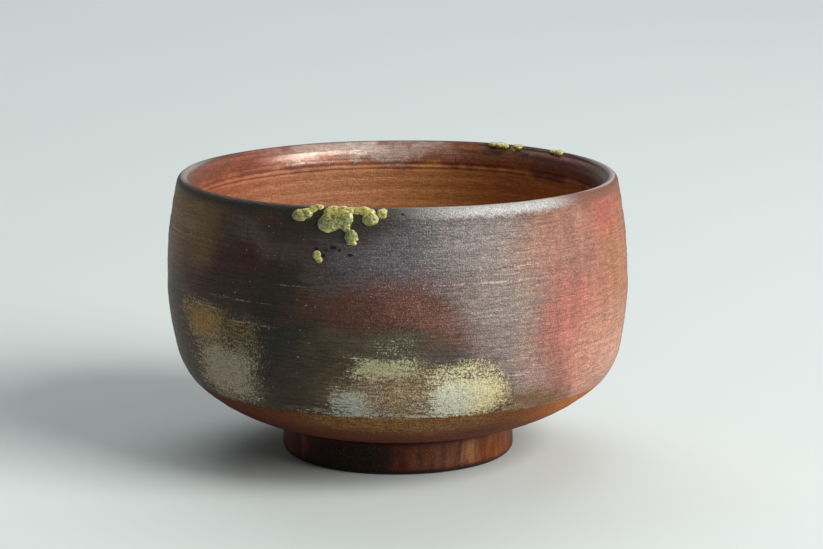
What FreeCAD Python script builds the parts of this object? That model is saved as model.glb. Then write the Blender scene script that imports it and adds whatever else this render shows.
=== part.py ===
"""A wood-fired matcha bowl: a thrown stoneware bowl, its foot ring and the beads of natural ash glass on its lip.

The origin is the centre of the face that the foot ring stands on, +Z is up and -Y is the bowl's front.
All sizes are millimetres and degrees, and they live in two spreadsheets of the document.
"""

import FreeCAD, Part

import math
import os

import Sketcher
from FreeCAD import Vector

CLAY_SIZES = {
    # the outside of the wall, from the lip down
    "lip_height": 76.4,
    "lip_roundness": 2.2,
    "belly_radius": 62.5,
    "belly_height": 49.0,
    "upper_wall_arc": 118.0,
    "lower_wall_arc": 90.0,
    "hip_height": 30.0,
    "hip_arc": 20.0,
    # the crease left where the trimming of the underside began
    "crease_height": 22.0,
    "crease_width": 0.35,
    "crease_drop": 0.45,
    "trimmed_arc": 46.0,
    # the cone on the underside that the foot ring is luted to
    "seat_outer_radius": 31.2,
    "seat_outer_height": 9.2,
    "seat_inner_radius": 25.0,
    "seat_inner_height": 7.8,
    "underside_height": 6.9,
    # the inside
    "wall_thickness": 4.6,
    "inner_lower_arc": 86.0,
    "inner_hip_height": 32.0,
    "inner_hip_arc": 21.0,
    "floor_arc": 95.0,
    "pool_radius": 13.0,
    "pool_edge_height": 13.4,
    "pool_height": 12.5,
    # the foot ring
    "foot_radius": 31.6,
    "foot_outer_round": 1.6,
    "foot_inner_round": 0.9,
    "foot_inner_radius": 26.2,
    "foot_shoulder": 1.0,
}

# One bead of ash glass is a ball sunk in the clay: where it is round the bowl from the front (positive
# to the right), its height, how far its centre is from the bowl's axis, and its radius.
GLASS_BEADS = {
    "front_ash_run_left": {
        "left_lobe": (-23.5, 73.6, 59.0, 2.1),
        "left_link": (-21.4, 74.8, 59.0, 1.7),
        "left_top": (-19.9, 75.5, 58.6, 1.5),
    },
    "front_ash_run_main": {
        "main_lobe": (-16.2, 71.9, 58.9, 2.7),
        "main_neck": (-16.6, 74.4, 59.1, 1.6),
        "main_top": (-14.8, 75.3, 58.7, 1.6),
        "main_body": (-12.8, 74.2, 58.4, 2.6),
        "main_tail": (-12.0, 72.0, 59.3, 2.0),
        "main_crest": (-10.9, 75.3, 58.6, 1.6),
    },
    "front_ash_hanging_drop": {
        "drop_neck": (-11.3, 70.4, 60.0, 1.3),
        "drop_knob": (-10.6, 69.0, 60.6, 1.5),
        "drop_toe": (-10.1, 67.6, 60.9, 0.9),
    },
    "front_ash_run_right": {
        "right_link": (-9.3, 75.0, 58.9, 1.6),
        "right_top": (-7.6, 75.2, 58.8, 1.7),
        "right_lobe": (-6.4, 73.2, 59.1, 2.1),
    },
    "front_ash_end_bead": {
        "end_bead": (-3.1, 74.6, 59.3, 1.4),
    },
    "front_ash_low_bead": {
        "low_bead": (-18.6, 64.0, 61.2, 1.0),
        "low_bead_toe": (-18.4, 63.1, 61.3, 0.8),
    },
    "rear_ash_run": {
        "rear_left": (151.4, 75.4, 57.6, 1.7),
        "rear_middle": (149.6, 75.4, 57.5, 1.7),
        "rear_right": (147.8, 75.4, 57.4, 1.6),
        "rear_shoulder": (149.8, 74.7, 58.6, 1.8),
        "rear_outer": (150.2, 73.1, 59.0, 1.9),
    },
    "rear_ash_inner_drip": {
        "drip_top": (143.8, 75.5, 57.0, 1.6),
        "drip_shoulder": (144.2, 74.6, 56.2, 1.4),
        "drip_stem": (144.5, 73.2, 55.9, 1.1),
        "drip_end": (144.7, 71.8, 56.1, 1.2),
    },
    "rear_ash_side_run": {
        "side_top": (128.8, 75.4, 57.4, 1.7),
        "side_edge": (127.0, 75.2, 57.0, 1.6),
        "side_shoulder": (128.6, 74.7, 58.6, 1.8),
        "side_outer": (128.4, 73.3, 59.0, 1.7),
    },
    "rear_ash_dot": {
        "dot": (132.2, 73.4, 55.8, 0.9),
    },
}

# Deposits that ran into an earlier one and froze against it.
FROZE_AGAINST = {
    "front_ash_hanging_drop": "front_ash_run_main",
    "front_ash_run_right": "front_ash_run_main",
    "front_ash_end_bead": "front_ash_run_right",
}

OUT_FOLDER = "parts"


def make_sheet(doc, name, sizes):
    """A spreadsheet with one aliased number in each row, and its name beside it."""
    sheet = doc.addObject("Spreadsheet::Sheet", name)
    for row, (alias, value) in enumerate(sizes.items(), start=1):
        sheet.set(f"A{row}", alias)
        sheet.set(f"B{row}", repr(float(value)))
        sheet.setAlias(f"B{row}", alias)
    return sheet


def origin_plane(body, role):
    """One of a body's own origin planes, by its role."""
    return next(feature for feature in body.Origin.OriginFeatures if feature.Role == role)


class Outline:
    """A closed outline in the XZ half-plane, drawn as a chain of lines and arcs in a sketch."""

    def __init__(self, body, name):
        self.sketch = body.newObject("Sketcher::SketchObject", name)
        self.sketch.AttachmentSupport = [(origin_plane(body, "XZ_Plane"), "")]
        self.sketch.MapMode = "FlatFace"

    def line(self, start, end):
        return self.sketch.addGeometry(Part.LineSegment(Vector(*start, 0), Vector(*end, 0)), False)

    def arc(self, centre, start, end):
        """An arc about centre, anticlockwise from start to end."""
        middle = Vector(*centre, 0)
        first = Vector(*start, 0) - middle
        last = Vector(*end, 0) - middle
        circle = Part.Circle(middle, Vector(0, 0, 1), first.Length)
        angles = [math.atan2(first.y, first.x), math.atan2(last.y, last.x)]
        if angles[1] < angles[0]:
            angles[1] += 2 * math.pi
        return self.sketch.addGeometry(Part.ArcOfCircle(circle, *angles), False)

    def join(self, first, first_end, second, second_end, smooth=False):
        kind = "Tangent" if smooth else "Coincident"
        self.sketch.addConstraint(Sketcher.Constraint(kind, first, first_end, second, second_end))

    def size(self, kind, name, formula, value, *where):
        """A driving dimension bound to a formula over the spreadsheet's cells."""
        index = self.sketch.addConstraint(Sketcher.Constraint(kind, *where, value))
        self.sketch.renameConstraint(index, name)
        self.sketch.setExpression(f"Constraints.{name}", formula)

    def on_axis(self, geometry, point):
        """Puts a point on the axis of revolution."""
        self.sketch.addConstraint(Sketcher.Constraint("PointOnObject", geometry, point, -2))


START, END, CENTRE = 1, 2, 3
ORIGIN = (-1, 1)


def revolve(body, sketch, name):
    """Turns an outline once round the vertical axis."""
    turned = body.newObject("PartDesign::Revolution", name)
    turned.Profile = sketch
    turned.ReferenceAxis = (sketch, ["V_Axis"])
    turned.Angle = 360.0
    sketch.Visibility = False
    return turned


def tangent_point(centre, radius, other):
    """Where the circle about centre touches a circle about other that it is tangent to."""
    away = (Vector(*centre, 0) - Vector(*other, 0)).normalize()
    return centre[0] + radius * away.x, centre[1] + radius * away.y


def point_at_height(centre, radius, height):
    """The point of a circle at a height, on the side away from the axis."""
    return centre[0] + math.sqrt(radius**2 - (height - centre[1]) ** 2), height


def arc_centre(start, end, radius):
    """The centre of an arc of a radius that bulges outwards and down between two points."""
    first, last = Vector(*start, 0), Vector(*end, 0)
    chord = last - first
    rise = math.sqrt(radius**2 - (chord.Length / 2) ** 2)
    middle = (first + last) / 2
    across = Vector(-chord.y, chord.x, 0).normalize()
    return middle.x + across.x * rise, middle.y + across.y * rise


def bowl_outline(body, s):
    """The bowl's section: lip, outer wall, hip, crease, trimmed underside, seat, floor and inner wall."""
    outline = Outline(body, "bowl_section")

    # Start each curve where the sizes put it, so that the solver only has to confirm it.
    belly = (s["belly_radius"], s["belly_height"])
    upper = (belly[0] - s["upper_wall_arc"], belly[1])
    lip_z = s["lip_height"] - s["lip_roundness"]
    lip_reach = s["upper_wall_arc"] - s["lip_roundness"]
    lip = (upper[0] + math.sqrt(lip_reach**2 - (lip_z - upper[1]) ** 2), lip_z)
    lip_outer = tangent_point(lip, s["lip_roundness"], upper)

    lower = (belly[0] - s["lower_wall_arc"], belly[1])
    hip_top = point_at_height(lower, s["lower_wall_arc"], s["hip_height"])
    inward = (Vector(*lower, 0) - Vector(*hip_top, 0)).normalize() * s["hip_arc"]
    hip = (hip_top[0] + inward.x, hip_top[1] + inward.y)
    crease = point_at_height(hip, s["hip_arc"], s["crease_height"])
    trim_top = (crease[0] - s["crease_width"], crease[1] - s["crease_drop"])
    seat_outer = (s["seat_outer_radius"], s["seat_outer_height"])
    seat_inner = (s["seat_inner_radius"], s["seat_inner_height"])
    trimmed = arc_centre(seat_outer, trim_top, s["trimmed_arc"])
    underside = (0.0, s["underside_height"])

    inner_belly = (belly[0] - s["wall_thickness"], belly[1])
    # The upper inner arc has its centre at the belly's height and touches the lip's circle from inside.
    across = inner_belly[0] - lip[0]
    rise = lip[1] - inner_belly[1]
    gap = across + s["lip_roundness"]
    inner_reach = (across**2 + rise**2 - s["lip_roundness"] ** 2) / (2 * gap)
    inner_upper = (inner_belly[0] - inner_reach, belly[1])
    toward = (Vector(*inner_upper, 0) - Vector(*lip, 0)).normalize() * s["lip_roundness"]
    lip_inner = (lip[0] + toward.x, lip[1] + toward.y)
    inner_lower = (inner_belly[0] - s["inner_lower_arc"], belly[1])
    inner_hip_top = point_at_height(inner_lower, s["inner_lower_arc"], s["inner_hip_height"])
    inward = (Vector(*inner_lower, 0) - Vector(*inner_hip_top, 0)).normalize() * s["inner_hip_arc"]
    inner_hip = (inner_hip_top[0] + inward.x, inner_hip_top[1] + inward.y)
    pool_edge = (s["pool_radius"], s["pool_edge_height"])
    pool = (0.0, s["pool_height"])
    pool_sag = pool_edge[1] - pool[1]
    pool_arc = (pool_edge[0] ** 2 + pool_sag**2) / (2 * pool_sag)

    # The floor's arc passes through the pool's edge and touches the inner hip from below.
    span = Vector(*inner_hip, 0) - Vector(*pool_edge, 0)
    reach = s["floor_arc"] - s["inner_hip_arc"]
    along = (s["floor_arc"] ** 2 - reach**2 + span.Length**2) / (2 * span.Length)
    aside = math.sqrt(s["floor_arc"] ** 2 - along**2)
    unit = Vector(span).normalize()
    floor = (
        pool_edge[0] + unit.x * along - unit.y * aside,
        pool_edge[1] + unit.y * along + unit.x * aside,
    )
    floor_end = tangent_point(inner_hip, s["inner_hip_arc"], floor)

    # Anticlockwise round the section, from the lip's outer side over its top.
    lip_arc = outline.arc(lip, lip_outer, lip_inner)
    inner_up = outline.arc(inner_upper, inner_belly, lip_inner)
    inner_low = outline.arc(inner_lower, inner_hip_top, inner_belly)
    inner_turn = outline.arc(inner_hip, floor_end, inner_hip_top)
    floor_arc = outline.arc(floor, pool_edge, floor_end)
    pool_curve = outline.arc((0.0, pool[1] + pool_arc), pool, pool_edge)
    axis = outline.line(pool, underside)
    under = outline.line(underside, seat_inner)
    seat = outline.line(seat_inner, seat_outer)
    trim = outline.arc(trimmed, seat_outer, trim_top)
    ledge = outline.line(trim_top, crease)
    hip_curve = outline.arc(hip, crease, hip_top)
    outer_low = outline.arc(lower, hip_top, belly)
    outer_up = outline.arc(upper, belly, lip_outer)

    outline.join(lip_arc, END, inner_up, END, smooth=True)
    outline.join(inner_up, START, inner_low, END)
    outline.join(inner_low, START, inner_turn, END, smooth=True)
    outline.join(inner_turn, START, floor_arc, END, smooth=True)
    outline.join(floor_arc, START, pool_curve, END)
    outline.join(pool_curve, START, axis, START)
    outline.join(axis, END, under, START)
    outline.join(under, END, seat, START)
    outline.join(seat, END, trim, START)
    outline.join(trim, END, ledge, START)
    outline.join(ledge, END, hip_curve, START)
    outline.join(hip_curve, END, outer_low, START, smooth=True)
    outline.join(outer_low, END, outer_up, START)
    outline.join(outer_up, END, lip_arc, START, smooth=True)

    def across_size(name, formula, value, geometry, point):
        outline.size("DistanceX", name, formula, value, *ORIGIN, geometry, point)

    def height_size(name, formula, value, geometry, point):
        outline.size("DistanceY", name, formula, value, *ORIGIN, geometry, point)

    for name, geometry in (
        ("upper_wall_arc", outer_up),
        ("lower_wall_arc", outer_low),
        ("hip_arc", hip_curve),
        ("trimmed_arc", trim),
        ("lip_roundness", lip_arc),
        ("inner_lower_arc", inner_low),
        ("inner_hip_arc", inner_turn),
        ("floor_arc", floor_arc),
    ):
        outline.size("Radius", name, f"clay.{name}", s[name], geometry)
    across_size("belly_radius", "clay.belly_radius", belly[0], outer_up, START)
    across_size(
        "inner_belly", "clay.belly_radius - clay.wall_thickness", inner_belly[0], inner_up, START
    )
    for name, geometry in (
        ("outer_belly_height", outer_up),
        ("inner_belly_height", inner_up),
    ):
        height_size(name, "clay.belly_height", belly[1], geometry, START)
    for name, geometry in (
        ("outer_up_centre", outer_up),
        ("outer_low_centre", outer_low),
        ("inner_up_centre", inner_up),
        ("inner_low_centre", inner_low),
    ):
        height_size(name, "clay.belly_height", belly[1], geometry, CENTRE)
    height_size("lip_top", "clay.lip_height - clay.lip_roundness", lip[1], lip_arc, CENTRE)
    height_size("hip_height", "clay.hip_height", hip_top[1], hip_curve, END)
    height_size("crease_height", "clay.crease_height", crease[1], hip_curve, START)
    outline.size(
        "DistanceX", "crease_width", "clay.crease_width", s["crease_width"], ledge, START, ledge, END
    )
    outline.size(
        "DistanceY", "crease_drop", "clay.crease_drop", s["crease_drop"], ledge, START, ledge, END
    )
    across_size("seat_outer_radius", "clay.seat_outer_radius", seat_outer[0], seat, END)
    height_size("seat_outer_height", "clay.seat_outer_height", seat_outer[1], seat, END)
    across_size("seat_inner_radius", "clay.seat_inner_radius", seat_inner[0], seat, START)
    height_size("seat_inner_height", "clay.seat_inner_height", seat_inner[1], seat, START)
    outline.on_axis(under, START)
    height_size("underside_height", "clay.underside_height", underside[1], under, START)
    height_size("inner_hip_height", "clay.inner_hip_height", inner_hip_top[1], inner_turn, END)
    across_size("pool_radius", "clay.pool_radius", pool_edge[0], floor_arc, START)
    height_size("pool_edge_height", "clay.pool_edge_height", pool_edge[1], floor_arc, START)
    outline.on_axis(pool_curve, START)
    height_size("pool_height", "clay.pool_height", pool[1], pool_curve, START)
    outline.on_axis(pool_curve, CENTRE)
    return outline.sketch


def foot_outline(body, s):
    """The foot ring's section: it stands on its flat end, and its top is the cone of the bowl's seat."""
    outline = Outline(body, "foot_section")
    top_outer = (s["seat_outer_radius"], s["seat_outer_height"])
    top_inner = (s["seat_inner_radius"], s["seat_inner_height"])
    shoulder = (s["foot_radius"], s["seat_outer_height"] - s["foot_shoulder"])
    low_outer = (s["foot_radius"], 0.0)
    low_inner = (s["foot_inner_radius"], 0.0)
    corners = [top_inner, low_inner, low_outer, shoulder, top_outer]
    lines = [outline.line(corners[i], corners[(i + 1) % 5]) for i in range(5)]
    for i in range(5):
        outline.join(lines[i], END, lines[(i + 1) % 5], START)
    names = ["top_inner", "low_inner", "low_outer", "shoulder", "top_outer"]
    radius_cells = [
        "clay.seat_inner_radius",
        "clay.foot_inner_radius",
        "clay.foot_radius",
        "clay.foot_radius",
        "clay.seat_outer_radius",
    ]
    height_cells = [
        "clay.seat_inner_height",
        None,
        None,
        "clay.seat_outer_height - clay.foot_shoulder",
        "clay.seat_outer_height",
    ]
    for i in range(5):
        outline.size(
            "DistanceX", f"{names[i]}_radius", radius_cells[i], corners[i][0], *ORIGIN, lines[i], START
        )
        if height_cells[i]:
            outline.size(
                "DistanceY", f"{names[i]}_height", height_cells[i], corners[i][1], *ORIGIN, lines[i], START
            )
        else:
            outline.sketch.addConstraint(Sketcher.Constraint("PointOnObject", lines[i], START, -1))
    return outline.sketch


def make_bowl(doc, s):
    body = doc.addObject("PartDesign::Body", "bowl_body")
    body.Label = "bowl_body"
    revolve(body, bowl_outline(body, s), "thrown_bowl")
    return body


def bottom_circles(feature):
    """The names of the edges round the foot ring's standing face, the widest first."""
    found = [
        (edge.Curve.Radius, f"Edge{number}")
        for number, edge in enumerate(feature.Shape.Edges, start=1)
        if isinstance(edge.Curve, Part.Circle) and edge.BoundBox.ZMax < 0.01
    ]
    return [name for radius, name in sorted(found, reverse=True)]


def make_foot(doc, s):
    """The foot ring, with its two lower edges rounded as a wet finger leaves them."""
    body = doc.addObject("PartDesign::Body", "foot_ring")
    body.Label = "foot_ring"
    ring = revolve(body, foot_outline(body, s), "trimmed_ring")
    doc.recompute()
    outer_round = body.newObject("PartDesign::Fillet", "outer_round")
    outer_round.Base = (ring, [bottom_circles(ring)[0]])
    outer_round.Radius = s["foot_outer_round"]
    outer_round.setExpression("Radius", "clay.foot_outer_round")
    doc.recompute()
    inner_round = body.newObject("PartDesign::Fillet", "inner_round")
    inner_round.Base = (outer_round, [bottom_circles(outer_round)[-1]])
    inner_round.Radius = s["foot_inner_round"]
    inner_round.setExpression("Radius", "clay.foot_inner_round")
    body.Tip = inner_round
    return body


def glass_sizes():
    """The cells of the glass sheet: four for each bead."""
    cells = {}
    for beads in GLASS_BEADS.values():
        for bead, (azimuth, height, reach, radius) in beads.items():
            cells[f"{bead}_azimuth"] = azimuth
            cells[f"{bead}_height"] = height
            cells[f"{bead}_reach"] = reach
            cells[f"{bead}_radius"] = radius
    return cells


def make_bead(doc, bead):
    """One ball of glass at its place in the wall, turned so that its seam is buried in the clay."""
    ball = doc.addObject("Part::Sphere", bead)
    ball.setExpression("Radius", f"glass.{bead}_radius")
    turn = f"(glass.{bead}_azimuth * 1 deg)"
    ball.setExpression("Placement.Base.x", f"glass.{bead}_reach * sin{turn}")
    ball.setExpression("Placement.Base.y", f"-glass.{bead}_reach * cos{turn}")
    ball.setExpression("Placement.Base.z", f"glass.{bead}_height")
    ball.setExpression("Placement.Rotation.Angle", f"glass.{bead}_azimuth * 1 deg + 90 deg")
    return ball


def make_glass(doc, name, beads, beds):
    """A deposit of glass: its beads melted together, less the clay and glass that it froze against."""
    deposit = make_bead(doc, beads[0])
    if len(beads) > 1:
        melt = doc.addObject("Part::MultiFuse", f"{name}_melt")
        melt.Shapes = [deposit, *(make_bead(doc, bead) for bead in beads[1:])]
        deposit = melt
    for bed in beds:
        cut = doc.addObject("Part::Cut", f"{name}_on_{bed.Label}")
        cut.Base = deposit
        cut.Tool = bed
        deposit = cut
    deposit.Label = name
    return deposit


def check(doc, parts):
    """Stops if any object failed to build, or if a sub-part isn't one valid closed solid."""
    for thing in doc.Objects:
        if "Invalid" in thing.State or "Error" in thing.State:
            raise RuntimeError(f"{thing.Name} failed to build: {thing.State}")
    for part in parts:
        shape = part.Shape
        if shape.isNull() or not shape.isValid() or not shape.Solids:
            raise RuntimeError(f"{part.Label} is not a valid solid")
        if len(shape.Solids) != 1 or not shape.Solids[0].isClosed():
            raise RuntimeError(f"{part.Label} is not one closed piece")


def main():
    doc = FreeCAD.newDocument("matcha_bowl")
    make_sheet(doc, "clay", CLAY_SIZES)
    make_sheet(doc, "glass", glass_sizes())
    doc.recompute()
    bowl = make_bowl(doc, CLAY_SIZES)
    foot = make_foot(doc, CLAY_SIZES)
    deposits = {}
    for name, beads in GLASS_BEADS.items():
        earlier = [deposits[FROZE_AGAINST[name]]] if name in FROZE_AGAINST else []
        deposits[name] = make_glass(doc, name, list(beads), [bowl, *earlier])
    doc.recompute()
    parts = [bowl, foot, *deposits.values()]
    check(doc, parts)
    os.makedirs(OUT_FOLDER, exist_ok=True)
    for part in parts:
        part.Shape.exportStep(os.path.join(OUT_FOLDER, f"{part.Label}.step"))
        print(part.Label, len(part.Shape.Solids), "solid(s)", round(part.Shape.Volume, 2), "mm3")


main()
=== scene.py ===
"""A wood-fired matcha bowl, with beads of natural ash glass on its lip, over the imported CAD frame."""

import math

import bmesh
import bpy
import numpy as np
from mathutils import Euler, Matrix, Vector, noise


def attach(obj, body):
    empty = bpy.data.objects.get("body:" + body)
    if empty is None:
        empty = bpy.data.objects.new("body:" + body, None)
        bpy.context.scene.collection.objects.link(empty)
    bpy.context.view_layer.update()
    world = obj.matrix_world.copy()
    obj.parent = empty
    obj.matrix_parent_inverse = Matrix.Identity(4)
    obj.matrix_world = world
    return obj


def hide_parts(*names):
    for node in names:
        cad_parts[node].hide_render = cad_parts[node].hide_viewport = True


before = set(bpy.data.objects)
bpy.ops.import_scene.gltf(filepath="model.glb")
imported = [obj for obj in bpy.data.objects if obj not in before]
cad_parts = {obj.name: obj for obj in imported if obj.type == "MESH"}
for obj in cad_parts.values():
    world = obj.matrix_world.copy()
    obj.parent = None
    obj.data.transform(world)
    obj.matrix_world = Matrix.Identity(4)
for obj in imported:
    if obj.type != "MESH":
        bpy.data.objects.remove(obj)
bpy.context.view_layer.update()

MM = 0.001
SEGMENTS = 180
FOOT_SEGMENTS = 2 * SEGMENTS

# ---------------------------------------------------------------- the bowl's section, in millimetres

# A point is (radius, height), and a name that ends in ARC is an arc's radius.
BELLY = (62.5, 49.0)
LIP_TOP = 76.4
LIP_ROUND = 2.2
UPPER_ARC = 118.0
LOWER_ARC = 90.0
HIP_ARC = 20.0
HIP_TOP = 30.0
CREASE_HEIGHT = 22.0
CREASE_CUT = (0.35, 0.45)
TRIMMED_ARC = 46.0
SEAT_OUTER = (31.2, 9.2)
SEAT_INNER = (25.0, 7.8)
UNDERSIDE = 6.9
WALL = 4.6
INNER_LOWER_ARC = 86.0
INNER_HIP_ARC = 21.0
INNER_HIP_TOP = 32.0
FLOOR_ARC = 95.0
POOL_EDGE = (13.0, 13.4)
POOL_BOTTOM = 12.5

# The stretches of the section in order, from the middle of the floor over the lip to the underside.
POOL, FLOOR, INNER_HIP, INNER_LOWER, INNER_UPPER, LIP = range(6)
UPPER, LOWER, HIP, CREASE, TRIMMED, SEAT, RECESS = range(6, 13)

# The lip has a bevel inside: where it starts, and how far it has opened at some heights above that.
BEVEL_FOOT = 71.2
BEVEL_HEIGHTS = (0.0, 0.6, 2.0, 3.2, 4.4)
BEVEL_OPENING = (0.0, 0.15, 0.65, 1.4, 2.4)

# Below the bevel the wall grows thicker towards the inside by this much, from one height to the other.
THICKENING = 1.2
THICKENING_HEIGHTS = (58.0, 70.5)

# The foot ring: its radii, the radius that parts its outer half from its inner one, and its edges.
FOOT_RADIUS = 31.6
FOOT_INNER = 26.2
FOOT_MIDDLE = 29.0
FOOT_ROUND = 1.7
FOOT_INNER_ROUND = 1.0


def angle_of(centre, point):
    """The direction from a centre to a point."""
    return math.atan2(point[1] - centre[1], point[0] - centre[0])


def arc(centre, radius, start, end, step):
    """Points along an arc from one angle to another, about step apart."""
    count = max(2, round(abs(end - start) * radius / step))
    angles = np.linspace(start, end, count + 1)
    return np.column_stack([centre[0] + radius * np.cos(angles), centre[1] + radius * np.sin(angles)])


def straight(start, end, step):
    """Points along a straight line, about step apart."""
    count = max(1, round(math.dist(start, end) / step))
    share = np.linspace(0, 1, count + 1)[:, None]
    return np.array(start) * (1 - share) + np.array(end) * share


def on_circle(centre, radius, height):
    """The point of a circle at a height, on the side away from the axis."""
    return centre[0] + math.sqrt(radius**2 - (height - centre[1]) ** 2), height


def inside_centre(circle_centre, radius, point):
    """The centre of a smaller circle that touches a circle from inside at a point."""
    away = np.array(circle_centre) - np.array(point)
    return tuple(np.array(point) + away / np.linalg.norm(away) * radius)


def floor_centre(inner_hip):
    """The centre of the floor's arc, which starts at the pool's edge and runs into the hip's arc."""
    span = np.array(inner_hip) - np.array(POOL_EDGE)
    length = np.linalg.norm(span)
    along = (FLOOR_ARC**2 - (FLOOR_ARC - INNER_HIP_ARC) ** 2 + length**2) / (2 * length)
    aside = math.sqrt(FLOOR_ARC**2 - along**2)
    unit = span / length
    return (
        POOL_EDGE[0] + unit[0] * along - unit[1] * aside,
        POOL_EDGE[1] + unit[1] * along + unit[0] * aside,
    )


def trimmed_centre(trim_top):
    """The centre of the trimmed arc, which runs from just under the crease to the seat of the foot ring."""
    chord = np.array(trim_top) - np.array(SEAT_OUTER)
    middle = (np.array(trim_top) + np.array(SEAT_OUTER)) / 2
    half = np.linalg.norm(chord) / 2
    aside = np.array([-chord[1], chord[0]]) / (2 * half)
    return tuple(middle + aside * math.sqrt(TRIMMED_ARC**2 - half**2))


def bowl_profile():
    """The section from the middle of the floor, up the inside, over the lip and down to the middle of the
    underside. Returns its points and, for each, the number of the stretch that it belongs to."""
    upper = (BELLY[0] - UPPER_ARC, BELLY[1])
    lower = (BELLY[0] - LOWER_ARC, BELLY[1])
    lip = on_circle(upper, UPPER_ARC - LIP_ROUND, LIP_TOP - LIP_ROUND)
    hip_top = on_circle(lower, LOWER_ARC, HIP_TOP)
    hip = inside_centre(lower, HIP_ARC, hip_top)
    crease = on_circle(hip, HIP_ARC, CREASE_HEIGHT)
    trim_top = (crease[0] - CREASE_CUT[0], crease[1] - CREASE_CUT[1])
    trimmed = trimmed_centre(trim_top)

    inner_belly = (BELLY[0] - WALL, BELLY[1])
    across = inner_belly[0] - lip[0]
    inner_upper_arc = (across**2 + (lip[1] - BELLY[1]) ** 2 - LIP_ROUND**2) / (2 * (across + LIP_ROUND))
    inner_upper = (inner_belly[0] - inner_upper_arc, BELLY[1])
    inner_lower = (inner_belly[0] - INNER_LOWER_ARC, BELLY[1])
    inner_hip_top = on_circle(inner_lower, INNER_LOWER_ARC, INNER_HIP_TOP)
    inner_hip = inside_centre(inner_lower, INNER_HIP_ARC, inner_hip_top)
    floor = floor_centre(inner_hip)
    sag = POOL_EDGE[1] - POOL_BOTTOM
    pool_arc = (POOL_EDGE[0] ** 2 + sag**2) / (2 * sag)
    pool = (0.0, POOL_BOTTOM + pool_arc)

    floor_end = angle_of(floor, inner_hip)
    lip_inner = angle_of(inner_upper, lip)
    seat = angle_of(trimmed, SEAT_OUTER)
    stretches = {
        POOL: arc(pool, pool_arc, -math.pi / 2, angle_of(pool, POOL_EDGE), 0.9),
        FLOOR: arc(floor, FLOOR_ARC, angle_of(floor, POOL_EDGE), floor_end, 0.8),
        INNER_HIP: arc(inner_hip, INNER_HIP_ARC, floor_end, angle_of(inner_hip, inner_hip_top), 0.7),
        INNER_LOWER: arc(inner_lower, INNER_LOWER_ARC, angle_of(inner_lower, inner_hip_top), 0.0, 0.55),
        INNER_UPPER: arc(inner_upper, inner_upper_arc, 0.0, lip_inner, 0.36),
        LIP: arc(lip, LIP_ROUND, lip_inner + math.pi, angle_of(upper, lip), 0.32),
        UPPER: arc(upper, UPPER_ARC, angle_of(upper, lip), 0.0, 0.25),
        LOWER: arc(lower, LOWER_ARC, 0.0, angle_of(lower, hip_top), 0.25),
        HIP: arc(hip, HIP_ARC, angle_of(hip, hip_top), angle_of(hip, crease), 0.25),
        CREASE: straight(crease, trim_top, 0.2),
        TRIMMED: arc(trimmed, TRIMMED_ARC, angle_of(trimmed, trim_top), seat, 0.36),
        SEAT: straight(SEAT_OUTER, SEAT_INNER, 1.3),
        RECESS: straight(SEAT_INNER, (0.0, UNDERSIDE), 1.0),
    }
    points = [stretches[POOL][0]]
    labels = [POOL]
    for number, stretch in stretches.items():
        points.extend(stretch[1:])
        labels.extend([number] * (len(stretch) - 1))
    return np.array(points), np.array(labels)


# ---------------------------------------------------------------- marks of the wheel and the hand


def smooth_noise(seed, size=512):
    """A seeded one-dimensional noise: a function of position, smooth, about -1 to 1, a cell a unit long."""
    values = np.random.default_rng(seed).uniform(-1, 1, size)

    def look(position):
        cell = np.floor(position).astype(int)
        share = position - cell
        share = share * share * (3 - 2 * share)
        return values[cell % size] * (1 - share) + values[(cell + 1) % size] * share

    return look


def smoothstep(low, high, value):
    """0 below low, 1 above high and smooth between."""
    share = np.clip((value - low) / (high - low), 0, 1)
    return share * share * (3 - 2 * share)


def bell(value, centre, width):
    """A bump of height 1 round one value."""
    return np.exp(-(((value - centre) / width) ** 2))


def swell(theta, centre, width):
    """A bump round one direction, in radians, that closes on itself behind."""
    return np.exp((np.cos(theta - centre) - 1) / width**2)


def directions(segments):
    """Directions round the axis as a row, in radians from the front."""
    return np.linspace(-math.pi, math.pi, segments, endpoint=False)[None, :]


def unit_normals(tangents):
    """Unit vectors square to the way that a section runs."""
    tangents = tangents / np.linalg.norm(tangents, axis=1)[:, None]
    return np.column_stack([tangents[:, 1], -tangents[:, 0]])


def spin(radius, theta, height):
    """Points in metres, ring by ring, from radii and heights in millimetres."""
    return np.stack([radius * np.sin(theta), -radius * np.cos(theta), height + 0 * theta], axis=-1) * MM


def spiral_turns(path, theta, pitch):
    """How many turns of a spiral lie before a point, along the section and round the axis."""
    return (path + pitch * theta / (2 * math.pi)) / pitch


def inside_shares(labels):
    """1 for a point of the section on the inside, 0 outside, passing from one to the other over the lip."""
    shares = np.where(labels < LIP, 1.0, 0.0)
    lip_rows = np.where(labels == LIP)[0]
    shares[lip_rows] = 1 - smoothstep(0, len(lip_rows) - 1, np.arange(len(lip_rows)))
    return shares


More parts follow.
